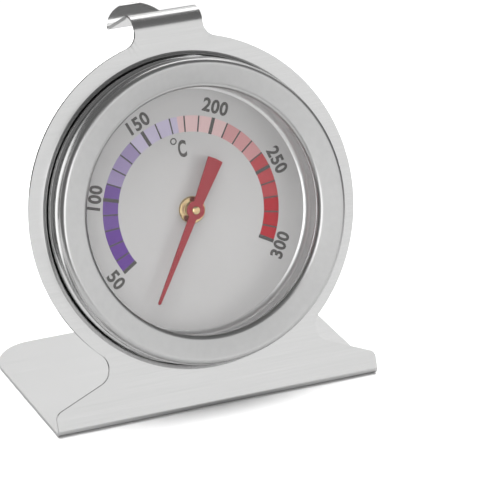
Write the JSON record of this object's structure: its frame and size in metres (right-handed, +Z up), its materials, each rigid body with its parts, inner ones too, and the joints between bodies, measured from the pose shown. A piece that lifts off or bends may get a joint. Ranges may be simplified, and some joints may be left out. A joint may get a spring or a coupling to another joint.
{
  "type": "oven thermometer",
  "caption": "Standing or hanging dial oven thermometer: bent steel stand with hook, crimped round case, glass, printed dial, bimetal coil and pointer.",
  "frame": {"origin": "centre of the foot's underside, on the surface that the thermometer stands on", "axes": "+Z up, +Y towards the rear, +X to the right as seen from the front; the dial faces -Y and leans back"},
  "size_m": [0.06, 0.0427, 0.0644],
  "materials": {
    "satin_steel": "satin brushed sheet",
    "case_steel": "plain drawn sheet",
    "polished_steel": "polished sides, satin front ring",
    "window_glass": "clear",
    "dial_face": "matt light grey, printed",
    "brass": "turned",
    "spring_steel": "plain",
    "bimetal": "plain rolled strip",
    "pointer_red": "matt crimson",
    "seal": "matt"
  },
  "bodies": {
    "case": {"stand": "satin_steel", "case_cup": "case_steel", "bezel": "polished_steel", "gasket_ring": "seal", "glass_lens": "window_glass", "spacer_ring": "case_steel", "dial_plate": "dial_face", "dial_bushing": "brass", "movement_frame": "spring_steel", "lock_washer": "spring_steel", "bushing_nut": "brass", "rear_bush": "brass", "bimetal_coil": "bimetal", "anchor_rivet": "spring_steel"},
    "pointer_set": {"pointer": "pointer_red", "pointer_hub": "brass", "spindle": "brass", "coil_collar": "brass", "thrust_washer": "spring_steel", "retaining_clip": "spring_steel"}
  },
  "joints": [
    {"name": "pointer_turn", "type": "hinge", "parent": "case", "child": "pointer_set", "pos_m": [0, -0.00673, 0.03252], "axis": [0, 0.9426, -0.3338], "range_deg": [-23, 279], "stiffness_Nm_per_rad": 0.0005, "deforming": ["bimetal_coil"]}
  ]
}
